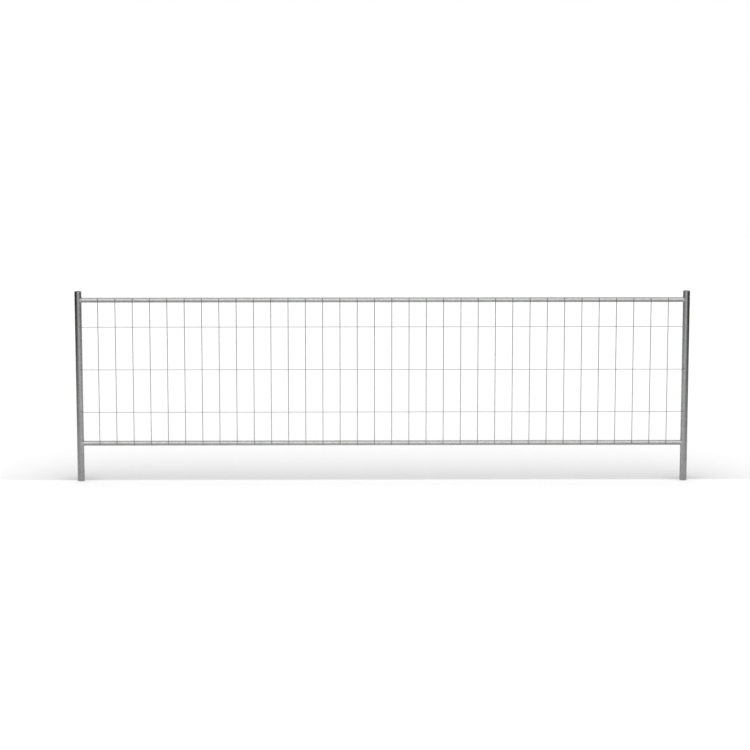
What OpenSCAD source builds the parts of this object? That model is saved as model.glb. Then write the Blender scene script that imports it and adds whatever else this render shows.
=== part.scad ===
// Crowd control barrier: a free-standing welded mesh panel of galvanised steel.
// Two upright posts carry a top and a bottom rail. Upright wires are welded to the front of the
// rails, and three cross wires are welded to the front of the upright wires and the posts.
// The origin is on the ground, midway between the axes of the posts. -Y is the front.

/* [Overall] */
// Length of the panel over the outsides of the posts
panel_length = 3500; // [2000:10:4000]
// Height of the panel, from the ground to the top of the posts
panel_height = 1100; // [900:10:1300]

/* [Posts] */
// Outside diameter of the post tube
post_d = 40; // [34:0.5:50]
// Wall of the post tube
post_wall = 1.5; // [1.2:0.1:3]
// Thickness of the plate that closes the top of a post
cap_thickness = 2; // [1.5:0.5:5]
// Radius that the cap plate's upper edge is ground to
cap_edge_r = 0.8; // [0.2:0.1:1.2]

/* [Rails] */
// Outside diameter of the rail tube
rail_d = 28; // [22:0.5:32]
// Wall of the rail tube
rail_wall = 1.5; // [1.2:0.1:3]
// Depth of the top rail's axis below the top of the posts
top_rail_drop = 50.5; // [35:0.5:120]
// Height of the bottom rail's axis above the ground
bottom_rail_height = 219.5; // [60:0.5:260]
// Leg of the fillet weld round each end of a rail
weld_leg = 2; // [1.5:0.5:4]

/* [Upright wires] */
// Diameter of the upright wires
upright_d = 4; // [3:0.5:6]
// Distance between neighbouring upright wires
upright_pitch = 98.3; // [60:0.1:150]
// Least distance from a post's axis to the first upright wire, when the mesh is centred
least_end_gap = 90; // [60:1:140]
// How far the mesh sits off the middle of the panel, towards +X
mesh_offset = 4; // [-10:0.5:10]
// How far an upright wire runs past the top rail's axis
overrun_at_top = 12; // [0:0.5:14]
// How far an upright wire runs past the bottom rail's axis
overrun_at_bottom = 11; // [0:0.5:14]

/* [Cross wires] */
// Diameter of the cross wires
cross_d = 3; // [2.5:0.5:5]
// Depth of the upper cross wire below the top rail's axis
upper_cross_drop = 152.5; // [60:0.5:200]
// Height of the lower cross wire above the bottom rail's axis
lower_cross_rise = 184; // [60:0.5:200]
// How far a cross wire runs past the axis of each post
cross_overrun = 8; // [0:0.5:12]

/* [Hidden] */
$fn = 96;
// extra length of a cutting body past the solid that it cuts
cut_past = 1;

post_r = post_d / 2;
post_x = panel_length / 2 - post_r;
post_tube_length = panel_height - cap_thickness;

// the rails stand forward in the posts, so that the fronts of the upright wires are flush with the posts
rail_r = rail_d / 2;
rail_y = -(post_r - upright_d - rail_r);
top_rail_z = panel_height - top_rail_drop;
bottom_rail_z = bottom_rail_height;

// as many upright wires as the length between the posts takes
upright_y = rail_y - rail_r - upright_d / 2;
upright_count = floor((2 * post_x - 2 * least_end_gap) / upright_pitch) + 1;
upright_bottom_z = bottom_rail_z - overrun_at_bottom;
upright_length = top_rail_z + overrun_at_top - upright_bottom_z;

// the cross wires lie on the fronts of the upright wires and of the posts
cross_y = upright_y - upright_d / 2 - cross_d / 2;
upper_cross_z = top_rail_z - upper_cross_drop;
lower_cross_z = bottom_rail_z + lower_cross_rise;
middle_cross_z = (upper_cross_z + lower_cross_z) / 2;

LEFT = -1;
RIGHT = 1;

function upright_x(number) = mesh_offset + (number - (upright_count + 1) / 2) * upright_pitch;
function upright_name(number) = str("upright_wire_", number < 10 ? "0" : "", number);

// A post: a round tube, open at the ground, where a ground spike or a foot's spigot goes in.
module post(side) {
    color("#8f9192")
    translate([side * post_x, 0, 0])
    difference() {
        cylinder(r = post_r, h = post_tube_length);
        translate([0, 0, -cut_past])
        cylinder(r = post_r - post_wall, h = post_tube_length + 2 * cut_past);
    }
}

// A cap: a round plate on the end of the tube, with its upper edge ground round.
module post_cap(side) {
    color("#97999a")
    translate([side * post_x, 0, post_tube_length])
    rotate_extrude()
    union() {
        square([post_r - cap_edge_r, cap_thickness]);
        square([post_r, cap_thickness - cap_edge_r]);
        translate([post_r - cap_edge_r, cap_thickness - cap_edge_r])
        intersection() {
            circle(r = cap_edge_r);
            square(cap_edge_r);
        }
    }
}

// The outside of a post, as the body that copes the ends of the rails and the welds to fit it.
module post_envelope(side) {
    translate([side * post_x, 0, -cut_past])
    cylinder(r = post_r, h = panel_height + 2 * cut_past);
}

// A bar of radius r that lies between the axes of the posts, at the height z.
module bar_between_posts(r, z) {
    translate([-post_x, rail_y, z])
    rotate([0, 90, 0])
    cylinder(r = r, h = 2 * post_x);
}

// A rail: a round tube with both ends coped to the posts.
module rail(z) {
    color("#a4a6a7")
    difference() {
        bar_between_posts(rail_r, z);
        bar_between_posts(rail_r - rail_wall, z);
        post_envelope(LEFT);
        post_envelope(RIGHT);
    }
}

// The fillet weld round the coped end of a rail.
module rail_weld(side, z) {
    ring_r = rail_r + weld_leg;
    color("#8b8d8e")
    difference() {
        intersection() {
            translate([side * post_x, 0, z - ring_r - cut_past])
            cylinder(r = post_r + weld_leg, h = 2 * (ring_r + cut_past));
            bar_between_posts(ring_r, z);
        }
        bar_between_posts(rail_r, z);
        post_envelope(side);
    }
}

// An upright wire, counted from the left.
module upright_wire(number) {
    color("#9fa1a2")
    translate([upright_x(number), upright_y, upright_bottom_z])
    cylinder(d = upright_d, h = upright_length);
}

// A cross wire, from one post to the other.
module cross_wire(z) {
    color("#9fa1a2")
    translate([-post_x - cross_overrun, cross_y, z])
    rotate([0, 90, 0])
    cylinder(d = cross_d, h = 2 * (post_x + cross_overrun));
}

post(LEFT);  // left_post
post(RIGHT);  // right_post
post_cap(LEFT);  // left_post_cap
post_cap(RIGHT);  // right_post_cap
rail(top_rail_z);  // top_rail
rail(bottom_rail_z);  // bottom_rail
rail_weld(LEFT, top_rail_z);  // top_left_weld
rail_weld(RIGHT, top_rail_z);  // top_right_weld
rail_weld(LEFT, bottom_rail_z);  // bottom_left_weld
rail_weld(RIGHT, bottom_rail_z);  // bottom_right_weld
cross_wire(upper_cross_z);  // upper_cross_wire
cross_wire(middle_cross_z);  // middle_cross_wire
cross_wire(lower_cross_z);  // lower_cross_wire
for (number = [1:upright_count])
    upright_wire(number);
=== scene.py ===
# Crowd control barrier: a welded mesh panel of galvanised steel, 3.5 m long and 1.1 m high.
# The sections follow the panel as it is made: posts, caps, rails, fillet welds, wires and the small
# welds that hold the wires. The floor, the light and the camera come last.
import math

import bmesh
import bpy
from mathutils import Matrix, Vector, noise


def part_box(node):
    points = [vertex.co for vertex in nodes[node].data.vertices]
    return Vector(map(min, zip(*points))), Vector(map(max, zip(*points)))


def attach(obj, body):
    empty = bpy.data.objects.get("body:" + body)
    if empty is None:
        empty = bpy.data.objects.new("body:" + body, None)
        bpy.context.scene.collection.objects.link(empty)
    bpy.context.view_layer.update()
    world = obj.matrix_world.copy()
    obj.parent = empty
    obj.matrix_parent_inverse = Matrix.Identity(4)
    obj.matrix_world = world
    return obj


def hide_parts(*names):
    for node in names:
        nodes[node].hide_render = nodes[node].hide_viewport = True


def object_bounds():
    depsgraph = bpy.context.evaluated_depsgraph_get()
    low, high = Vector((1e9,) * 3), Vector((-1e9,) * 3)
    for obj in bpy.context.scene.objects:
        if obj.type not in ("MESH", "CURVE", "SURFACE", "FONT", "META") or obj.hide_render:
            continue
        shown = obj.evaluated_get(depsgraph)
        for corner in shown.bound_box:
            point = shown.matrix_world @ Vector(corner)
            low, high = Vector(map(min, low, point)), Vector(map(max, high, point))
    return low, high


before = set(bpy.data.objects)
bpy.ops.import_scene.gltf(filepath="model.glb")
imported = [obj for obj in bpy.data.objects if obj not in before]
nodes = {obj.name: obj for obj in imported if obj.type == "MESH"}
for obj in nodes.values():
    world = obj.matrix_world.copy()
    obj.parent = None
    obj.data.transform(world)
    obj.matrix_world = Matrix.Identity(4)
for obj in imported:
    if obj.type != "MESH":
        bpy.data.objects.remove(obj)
cad_low, cad_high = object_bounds()


# Posts. Each is a length of round steel tube, 40 mm across, cut square and left open at the ground.
# The whole panel is welded first and then dipped in molten zinc, so the tube has a smooth grey skin
# of zinc, with faint crystals in it and fine lines along the tube from the tube mill.

MM = 0.001
CRYSTAL_EDGE_SHAKE = 0.5
CRYSTAL_SHARE = 0.5
PATCH_SHARE = 0.5
PATCH_WIDTH = 90 * MM
LINE_STRETCH = 100
ROUGHNESS_SPREAD = 0.05
RIPPLE_WIDTH = 14 * MM
RIPPLE_DEPTH = 0.05 * MM
LINE_DEPTH = 0.015 * MM
LINE_STRENGTH = 0.5


def linear(hex_colour):
    """An sRGB hex colour as the linear RGBA that shader sockets take."""
    channels = [int(hex_colour[i:i + 2], 16) / 255 for i in (1, 3, 5)]
    return [c / 12.92 if c <= 0.04045 else ((c + 0.055) / 1.055) ** 2.4 for c in channels] + [1.0]


def add_node(tree, kind, inputs=None, **settings):
    """A new node with its settings. Each input is a value, or another node's output to link from."""
    node = tree.nodes.new(kind)
    for name, value in settings.items():
        setattr(node, name, value)
    for name, value in (inputs or {}).items():
        if isinstance(value, bpy.types.NodeSocket):
            tree.links.new(value, node.inputs[name])
        else:
            node.inputs[name].default_value = value
    return node


def galvanised_steel(name, bright, dull, roughness, crystal_mm, line_mm, line_axis):
    """Hot-dip galvanised steel: a metal, with zinc crystals that each catch the light a little
    differently, dull patches where the zinc has weathered, and fine lines along line_axis. The
    zinc also ran a little as it set, which bends the reflections slightly."""
    material = bpy.data.materials.new(name)
    material.use_nodes = True
    tree = material.node_tree
    tree.nodes.clear()
    place = add_node(tree, "ShaderNodeTexCoord").outputs["Object"]

    # the crystals' edges are uneven, so their coordinates are shaken by a noise
    crystal_width = crystal_mm * MM
    shake = add_node(tree, "ShaderNodeTexNoise",
                     {"Vector": place, "Scale": 1 / crystal_width, "Detail": 2.0})
    shaken = add_node(tree, "ShaderNodeVectorMath",
                      {0: shake.outputs["Color"], 1: (crystal_width * CRYSTAL_EDGE_SHAKE,) * 3, 2: place},
                      operation="MULTIPLY_ADD")
    crystals = add_node(tree, "ShaderNodeTexVoronoi",
                        {"Vector": shaken.outputs[0], "Scale": 1 / crystal_width})
    crystal = add_node(tree, "ShaderNodeSeparateColor", {"Color": crystals.outputs["Color"]})

    # weathering comes in patches about a hand wide
    patch = add_node(tree, "ShaderNodeTexNoise",
                     {"Vector": place, "Scale": 1 / PATCH_WIDTH, "Detail": 4.0, "Roughness": 0.6})

    # lines from the mill or the drawing die: a noise that is stretched along the tube or wire
    stretch = [1 / (line_mm * MM)] * 3
    stretch["xyz".index(line_axis)] /= LINE_STRETCH
    line_place = add_node(tree, "ShaderNodeVectorMath", {0: place, 1: stretch}, operation="MULTIPLY")
    lines = add_node(tree, "ShaderNodeTexNoise",
                     {"Vector": line_place.outputs[0], "Scale": 1.0, "Detail": 3.0})

    crystal_tint = add_node(tree, "ShaderNodeMath", {0: crystal.outputs["Red"], 1: CRYSTAL_SHARE},
                            operation="MULTIPLY")
    tint = add_node(tree, "ShaderNodeMath",
                    {0: patch.outputs["Fac"], 1: PATCH_SHARE, 2: crystal_tint.outputs[0]},
                    operation="MULTIPLY_ADD")
    colour = add_node(tree, "ShaderNodeMix",
                      {"Factor": tint.outputs[0], "A": linear(dull), "B": linear(bright)},
                      data_type="RGBA")
    gloss = add_node(tree, "ShaderNodeMapRange",
                     {"Value": tint.outputs[0], "To Min": roughness + ROUGHNESS_SPREAD,
                      "To Max": roughness - ROUGHNESS_SPREAD})

    ripple = add_node(tree, "ShaderNodeTexNoise",
                      {"Vector": place, "Scale": 1 / RIPPLE_WIDTH, "Detail": 2.0})
    soft_bump = add_node(tree, "ShaderNodeBump",
                         {"Height": ripple.outputs["Fac"], "Distance": RIPPLE_DEPTH, "Strength": 1.0})
    line_bump = add_node(tree, "ShaderNodeBump",
                         {"Height": lines.outputs["Fac"], "Distance": LINE_DEPTH,
                          "Strength": LINE_STRENGTH, "Normal": soft_bump.outputs["Normal"]})
    shader = add_node(tree, "ShaderNodeBsdfPrincipled",
                      {"Base Color": colour.outputs["Result"], "Metallic": 1.0,
                       "Roughness": gloss.outputs["Result"], "Normal": line_bump.outputs["Normal"]})
    add_node(tree, "ShaderNodeOutputMaterial", {"Surface": shader.outputs["BSDF"]})
    return material


def give(node_name, material):
    """Gives a CAD node its finish."""
    piece = nodes[node_name]
    piece.data.materials.clear()
    piece.data.materials.append(material)


post_tube = galvanised_steel("galvanised_post_tube", bright="#acadac", dull="#929392",
                             roughness=0.22, crystal_mm=8, line_mm=0.8, line_axis="z")
for name in ("left_post", "right_post"):
    give(name, post_tube)


# Caps. A round plate closes the top of each post. It is welded on and ground flush with the tube
# before the zinc bath, so it has the same zinc, a little duller where the grinder left it rough.

cap_plate = galvanised_steel("galvanised_cap_plate", bright="#a4a5a4", dull="#878887",
                             roughness=0.25, crystal_mm=7, line_mm=0.5, line_axis="x")
for name in ("left_post_cap", "right_post_cap"):
    give(name, cap_plate)


# Rails. Two lengths of round tube, 28 mm across, coped at both ends to lie against the posts. They
# have the same smooth grey zinc as the posts, and their mill lines run along the rail.

rail_tube = galvanised_steel("galvanised_rail_tube", bright="#aeafae", dull="#949594",
                             roughness=0.22, crystal_mm=8, line_mm=0.8, line_axis="x")
for name in ("top_rail", "bottom_rail"):
    give(name, rail_tube)


# Fillet welds. Each end of a rail is welded to its post all the way round. The bead is laid in short
# steps, so it has a ripple for each, crescent-shaped and about 2 mm from the next. The zinc covers
# the bead too, but it is rougher there, so it shines less than on the tubes.

BEAD_RIPPLE_PITCH = 1.9 * MM
BEAD_RIPPLE_HEIGHT = 0.16 * MM
CRESCENT_DEPTH = 0.6
STEPS_PER_RIPPLE = 6
BEAD_STEPS = 10
LEG_UNEVENNESS = 0.15
ROOT_DEPTH = 0.5 * MM
BULGE = 0.35

weld_metal = galvanised_steel("zinc_on_weld_metal", bright="#b2b3b2", dull="#989998",
                              roughness=0.3, crystal_mm=3, line_mm=0.6, line_axis="y")


def add_piece(name, bm, material):
    """A new piece of the panel from a bmesh, smooth all over."""
    bmesh.ops.recalc_face_normals(bm, faces=bm.faces)
    mesh = bpy.data.meshes.new(name)
    bm.to_mesh(mesh)
    bm.free()
    mesh.shade_smooth()
    mesh.materials.append(material)
    piece = bpy.data.objects.new(name, mesh)
    bpy.context.scene.collection.objects.link(piece)
    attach(piece, "root")
    return piece


def fillet_bead(post, rail, weld):
    """The bead round the joint of a post and a rail, as rings of points across it. A point of the
    bead is given by the angle round the rail and by its heights over the rail and over the post."""
    post_low, post_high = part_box(post)
    rail_low, rail_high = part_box(rail)
    weld_low, weld_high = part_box(weld)
    post_middle = (post_low + post_high) / 2
    rail_middle = (rail_low + rail_high) / 2
    post_radius = (post_high.x - post_low.x) / 2
    rail_radius = (rail_high.z - rail_low.z) / 2
    leg = (weld_high.z - weld_low.z) / 2 - rail_radius
    inward = 1 if post_middle.x < 0 else -1
    ripples = round(2 * math.pi * (rail_radius + leg / 2) / BEAD_RIPPLE_PITCH)
    turns = ripples * STEPS_PER_RIPPLE

    def bead_point(angle, over_rail, over_post):
        radius = rail_radius + over_rail
        y = rail_middle.y + radius * math.cos(angle)
        z = rail_middle.z + radius * math.sin(angle)
        off_axis = y - post_middle.y
        reach = math.sqrt((post_radius + over_post) ** 2 - off_axis ** 2)
        return Vector((post_middle.x + inward * reach, y, z))

    bm = bmesh.new()
    rings = []
    for turn in range(turns):
        angle = 2 * math.pi * turn / turns
        # the welder's hand isn't steady: a noise read round a circle, at another height for each joint
        hand = Vector((2 * math.cos(angle), 2 * math.sin(angle), 3 * post_middle.x + rail_middle.z))
        size = leg * (1 + LEG_UNEVENNESS * noise.noise(hand))
        points = [(-ROOT_DEPTH, -ROOT_DEPTH), (size, -ROOT_DEPTH)]
        for step in range(BEAD_STEPS + 1):
            # the face of the bead, from its toe on the post to its toe on the rail, ripples most midway
            across = step / BEAD_STEPS
            crown = 4 * across * (1 - across)
            phase = 2 * math.pi * (turn / STEPS_PER_RIPPLE - CRESCENT_DEPTH * crown)
            lift = BEAD_RIPPLE_HEIGHT * crown * math.cos(phase) / math.sqrt(2)
            quarter = across * math.pi / 2
            over_rail = size * ((1 - BULGE) * (1 - across) + BULGE * math.cos(quarter)) + lift
            over_post = size * ((1 - BULGE) * across + BULGE * math.sin(quarter)) + lift
            points.append((over_rail, over_post))
        points.append((-ROOT_DEPTH, size))
        rings.append([bm.verts.new(bead_point(angle, *point)) for point in points])
    for ring, next_ring in zip(rings, rings[1:] + rings[:1]):
        for i in range(len(ring)):
            j = (i + 1) % len(ring)
            bm.faces.new((ring[i], ring[j], next_ring[j], next_ring[i]))
    bead = add_piece(weld + "_bead", bm, weld_metal)
    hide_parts(weld)


for level in ("top", "bottom"):
    for side in ("left", "right"):
        fillet_bead(f"{side}_post", f"{level}_rail", f"{level}_{side}_weld")


# Wires. Drawn steel wire, cut to length: 34 upright wires of 4 mm on the front of the rails, and
# three cross wires of 3 mm on the front of the upright wires and the posts. Their zinc has small
# crystals and is given a darker grey than the tubes, and the thinner cross wires are the darkest.

upright_wire = galvanised_steel("galvanised_upright_wire", bright="#a2a3a2", dull="#888988",
                                roughness=0.26, crystal_mm=5, line_mm=0.4, line_axis="z")
cross_wire = galvanised_steel("galvanised_cross_wire", bright="#8e8f8e", dull="#747574",
                              roughness=0.26, crystal_mm=5, line_mm=0.4, line_axis="x")
uprights = sorted(name for name in nodes if name.startswith("upright_wire_"))
cross_wires = [name for name in nodes if name.endswith("_cross_wire")]
for name in uprights:
    give(name, upright_wire)
for name in cross_wires:
    give(name, cross_wire)


# Wire welds. The wires are pressed together and on to the rails and posts between two electrodes, and
# the current melts them where they touch. A little metal squeezes out round each spot as a low lump
# with an uneven rim, and the zinc fills the narrow gap beside it.

HALF_WELD_ON_RAIL = Vector((2.3, 0.8, 3.4)) * MM
HALF_WELD_AT_CROSSING = Vector((2.4, 1.3, 2.2)) * MM
HALF_WELD_ON_POST = Vector((5.0, 1.1, 2.2)) * MM
RIM_UNEVENNESS = 0.22
RIM_WAVES = 1.6
PLACES_APART = 900


def add_lump(bm, place, half_size):
    """One spot of squeezed-out weld metal round place. Each lump's rim is shaped by a part of the
    noise that no other lump uses, so no two are alike."""
    made = bmesh.ops.create_icosphere(bm, subdivisions=3, radius=1)
    for vert in made["verts"]:
        uneven = 1 + RIM_UNEVENNESS * noise.noise(RIM_WAVES * vert.co + PLACES_APART * place)
        vert.co = place + uneven * half_size * vert.co


def middle(name):
    """The middle of a CAD node's box."""
    low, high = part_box(name)
    return (low + high) / 2


front_of_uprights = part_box(uprights[0])[0].y
front_of_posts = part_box("left_post")[0].y
for rail in ("top_rail", "bottom_rail"):
    bm = bmesh.new()
    for upright in uprights:
        touching = Vector((middle(upright).x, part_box(rail)[0].y, middle(rail).z))
        add_lump(bm, touching, HALF_WELD_ON_RAIL)
    add_piece(f"upright_wire_welds_on_{rail}", bm, weld_metal)
for cross in cross_wires:
    bm = bmesh.new()
    for upright in uprights:
        touching = Vector((middle(upright).x, front_of_uprights, middle(cross).z))
        add_lump(bm, touching, HALF_WELD_AT_CROSSING)
    for post in ("left_post", "right_post"):
        touching = Vector((middle(post).x, front_of_posts, middle(cross).z))
        add_lump(bm, touching, HALF_WELD_ON_POST)
    add_piece(f"{cross}_welds", bm, weld_metal)


# Floor. A pale, matt studio floor. To reflected rays alone, its colour holds a painted shade: it is
# painted darker towards both sides of the panel, standing in for a studio dark at its sides, so the zinc
# reflects a floor that fades away.

FLOOR_HALF_WIDTH = 9.0
FLOOR_FRONT = -15.0
FLOOR_BACK = 10.0
FADE_START = 0.5
FADE_END = 8.2
FADE_POWER = 1.3

floor_mesh = bpy.data.meshes.new("studio_floor")
floor_mesh.from_pydata([(-FLOOR_HALF_WIDTH, FLOOR_FRONT, 0), (FLOOR_HALF_WIDTH, FLOOR_FRONT, 0),
                        (FLOOR_HALF_WIDTH, FLOOR_BACK, 0), (-FLOOR_HALF_WIDTH, FLOOR_BACK, 0)],
                       [], [(0, 1, 2, 3)])
floor = bpy.data.objects.new("studio_floor", floor_mesh)
bpy.context.scene.collection.objects.link(floor)
floor_paint = bpy.data.materials.new("matt_floor_paint")
floor_paint.use_nodes = True
coat = floor_paint.node_tree
coat.nodes.clear()
floor_place = add_node(coat, "ShaderNodeTexCoord").outputs["Object"]
floor_axes = add_node(coat, "ShaderNodeSeparateXYZ", {"Vector": floor_place})
off_middle = add_node(coat, "ShaderNodeMath", {0: floor_axes.outputs["X"]}, operation="ABSOLUTE")
painted_lit_ramp = add_node(coat, "ShaderNodeMapRange",
                     {"Value": off_middle.outputs[0], "From Min": FADE_START, "From Max": FADE_END,
                      "To Min": 1.0, "To Max": 0.0})
painted_lit_share = add_node(coat, "ShaderNodeMath", {0: painted_lit_ramp.outputs["Result"], 1: FADE_POWER},
               operation="POWER")
# painted shade: to reflected rays alone, the floor's colour darkens on both sides of the panel
reflected = add_node(coat, "ShaderNodeLightPath").outputs["Is Glossy Ray"]
painted_brightness = add_node(coat, "ShaderNodeMix", {"Factor": reflected, "A": 1.0, "B": painted_lit_share.outputs[0]},
                      data_type="FLOAT")
paint_and_painted_shade = add_node(coat, "ShaderNodeMix",
                 {"Factor": painted_brightness.outputs["Result"], "A": linear("#000000"), "B": linear("#f9f9f9")},
                 data_type="RGBA")
chalk = add_node(coat, "ShaderNodeBsdfDiffuse", {"Color": paint_and_painted_shade.outputs["Result"]})
add_node(coat, "ShaderNodeOutputMaterial", {"Surface": chalk.outputs["BSDF"]})
floor_mesh.materials.append(floor_paint)


# Painted shadow. A hidden black sheet, seen neither by the camera nor in reflections, stands in the plane
# of the panel just clear of the floor and darkens only the floor behind it, as a painted shadow of the
# panel. Its density thins towards its ends, so that this painted shadow has no edge there, and is greater
# beside the foot of each post.

SHADOW_CARD_HEIGHT = 0.65
SHADOW_CARD_CLEARANCE = 0.014
SHADOW_CARD_OVERHANG = 0.8
SHADOW_THINS_WITHIN = 0.2
SHADOW_DENSITY = 0.53
FOOT_SHADOW_DENSITY = 0.65
FOOT_PATCH_HEIGHT = 0.2
FOOT_PATCH_HALF_WIDTH = 0.15

shadow_card_mesh = bpy.data.meshes.new("painted_shadow_card")
shadow_card_mesh.from_pydata([(cad_low.x - SHADOW_CARD_OVERHANG, 0, SHADOW_CARD_CLEARANCE),
                       (cad_high.x + SHADOW_CARD_OVERHANG, 0, SHADOW_CARD_CLEARANCE),
                       (cad_high.x + SHADOW_CARD_OVERHANG, 0, SHADOW_CARD_HEIGHT),
                       (cad_low.x - SHADOW_CARD_OVERHANG, 0, SHADOW_CARD_HEIGHT)], [], [(0, 1, 2, 3)])
shadow_card = bpy.data.objects.new("painted_shadow_card", shadow_card_mesh)
bpy.context.scene.collection.objects.link(shadow_card)
shadow_card.visible_camera = False
shadow_card.visible_glossy = False
shadow_card_material = bpy.data.materials.new("painted_shadow_sheet")
shadow_card_material.use_nodes = True
shadow_tree = shadow_card_material.node_tree
shadow_tree.nodes.clear()
card_place = add_node(shadow_tree, "ShaderNodeTexCoord").outputs["Object"]
card_axes = add_node(shadow_tree, "ShaderNodeSeparateXYZ", {"Vector": card_place})
from_middle = add_node(shadow_tree, "ShaderNodeMath", {0: card_axes.outputs["X"]}, operation="ABSOLUTE")
even_shadow = add_node(shadow_tree, "ShaderNodeMapRange",
                      {"Value": from_middle.outputs[0], "From Min": cad_high.x - SHADOW_THINS_WITHIN,
                       "From Max": cad_high.x + SHADOW_CARD_OVERHANG, "To Min": SHADOW_DENSITY, "To Max": 0.0},
                      interpolation_type="SMOOTHSTEP")
from_post = add_node(shadow_tree, "ShaderNodeMath",
                     {0: from_middle.outputs[0], 1: middle("right_post").x}, operation="SUBTRACT")
beside_post = add_node(shadow_tree, "ShaderNodeMath", {0: from_post.outputs[0]}, operation="ABSOLUTE")
foot_shadow = add_node(shadow_tree, "ShaderNodeMapRange",
                       {"Value": beside_post.outputs[0], "From Min": 0.0,
                        "From Max": FOOT_PATCH_HALF_WIDTH, "To Min": FOOT_SHADOW_DENSITY, "To Max": 0.0},
                       interpolation_type="SMOOTHSTEP")
low_down = add_node(shadow_tree, "ShaderNodeMapRange",
                    {"Value": card_axes.outputs["Z"], "From Min": 0.0, "From Max": FOOT_PATCH_HEIGHT,
                     "To Min": 1.0, "To Max": 0.0})
shadow_share = add_node(shadow_tree, "ShaderNodeMath",
                   {0: foot_shadow.outputs["Result"], 1: low_down.outputs["Result"],
                    2: even_shadow.outputs["Result"]}, operation="MULTIPLY_ADD")
# the sheet holds back only the rays that leave the floor behind it, so the painted shadow falls only
# there
from_behind = add_node(shadow_tree, "ShaderNodeNewGeometry").outputs["Backfacing"]
density = add_node(shadow_tree, "ShaderNodeMath", {0: from_behind, 1: shadow_share.outputs[0]},
                   operation="MULTIPLY")
# the dark part of the sheet, which makes the painted shadow on the floor
shadow_blocker = add_node(shadow_tree, "ShaderNodeBsdfDiffuse", {"Color": linear("#000000")})
gap = add_node(shadow_tree, "ShaderNodeBsdfTransparent")
shadow_mix = add_node(shadow_tree, "ShaderNodeMixShader",
                 {0: density.outputs[0], 1: gap.outputs["BSDF"], 2: shadow_blocker.outputs["BSDF"]})
add_node(shadow_tree, "ShaderNodeOutputMaterial", {"Surface": shadow_mix.outputs["Shader"]})
shadow_card_mesh.materials.append(shadow_card_material)


# Light. A soft studio: a bright ceiling, a large soft box high in front of the panel, a pale wall
# in front, a dimmer one behind, and dark sides. The camera itself sees plain white where the floor
# ends. Walls, sides and ceiling pass into one another without an edge.

FRONT_WALL = 1.25
BACK_WALL_SHARE = 0.35
DARK_SIDE = 0.02
CEILING = 1.13
SOFT_BOX = 0.9
SOFT_BOX_HEIGHT = math.radians(32)
SOFT_BOX_CORE = math.radians(8)
SOFT_BOX_RIM = math.radians(42)
# where one part of the studio passes into the next, in parts of a unit vector's X, Y and Z
SIDE_FROM_X = 0.75
FRONT_WALL_TO_Y = -0.3
BACK_WALL_FROM_Y = 0.5
WALLS_TO_Z = 0.15
CEILING_FROM_Z = 0.6

world = bpy.data.worlds.new("soft_studio")
bpy.context.scene.world = world
world.use_nodes = True
sky = world.node_tree
sky.nodes.clear()
direction = add_node(sky, "ShaderNodeTexCoord").outputs["Generated"]
axes = add_node(sky, "ShaderNodeSeparateXYZ", {"Vector": direction})
sideways = add_node(sky, "ShaderNodeMath", {0: axes.outputs["X"]}, operation="ABSOLUTE")
wall = add_node(sky, "ShaderNodeMapRange",
                {"Value": sideways.outputs[0], "From Min": 0.0, "From Max": SIDE_FROM_X,
                 "To Min": FRONT_WALL, "To Max": DARK_SIDE})
backwards = add_node(sky, "ShaderNodeMapRange",
                     {"Value": axes.outputs["Y"], "From Min": FRONT_WALL_TO_Y,
                      "From Max": BACK_WALL_FROM_Y, "To Min": 1.0, "To Max": BACK_WALL_SHARE})
walls = add_node(sky, "ShaderNodeMath", {0: wall.outputs["Result"], 1: backwards.outputs["Result"]},
                 operation="MULTIPLY")
ceiling = add_node(sky, "ShaderNodeMapRange",
                   {"Value": axes.outputs["Z"], "From Min": WALLS_TO_Z, "From Max": CEILING_FROM_Z,
                    "To Min": 0.0, "To Max": 1.0}, interpolation_type="SMOOTHSTEP")
room = add_node(sky, "ShaderNodeMix",
                {"Factor": ceiling.outputs["Result"], "A": walls.outputs[0], "B": CEILING},
                data_type="FLOAT")
towards_box = (0, -math.cos(SOFT_BOX_HEIGHT), math.sin(SOFT_BOX_HEIGHT))
facing_box = add_node(sky, "ShaderNodeVectorMath", {0: direction, 1: towards_box},
                      operation="DOT_PRODUCT")
soft_box = add_node(sky, "ShaderNodeMapRange",
                    {"Value": facing_box.outputs["Value"], "From Min": math.cos(SOFT_BOX_RIM),
                     "From Max": math.cos(SOFT_BOX_CORE), "To Min": 0.0, "To Max": SOFT_BOX},
                    interpolation_type="SMOOTHSTEP")
studio = add_node(sky, "ShaderNodeMath",
                  {0: room.outputs["Result"], 1: soft_box.outputs["Result"]}, operation="ADD")
seen = add_node(sky, "ShaderNodeLightPath")
strength = add_node(sky, "ShaderNodeMix",
                    {"Factor": seen.outputs["Is Camera Ray"], "A": studio.outputs[0], "B": 1.0},
                    data_type="FLOAT")
background = add_node(sky, "ShaderNodeBackground",
                      {"Color": linear("#ffffff"), "Strength": strength.outputs["Result"]})
add_node(sky, "ShaderNodeOutputWorld", {"Surface": background.outputs["Background"]})

bpy.context.scene.view_settings.view_transform = "Standard"


# Camera. It stands well back with a long lens, a little left of the middle, and looks down slightly.

CAMERA_PLACE = Vector((-0.1634, -16.651, 3.717))
CAMERA_DOWN = math.radians(10.554)
CAMERA_TO_RIGHT = math.radians(0.417)
LENS_MM = 142.3
SENSOR_MM = 36
VIEW_END = 200

camera = bpy.data.objects.new("camera", bpy.data.cameras.new("camera"))
bpy.context.scene.collection.objects.link(camera)
camera.data.lens = LENS_MM
camera.data.sensor_width = SENSOR_MM
camera.data.clip_end = VIEW_END
camera.location = CAMERA_PLACE
camera.rotation_euler = (math.radians(90) - CAMERA_DOWN, 0, -CAMERA_TO_RIGHT)
bpy.context.scene.camera = camera
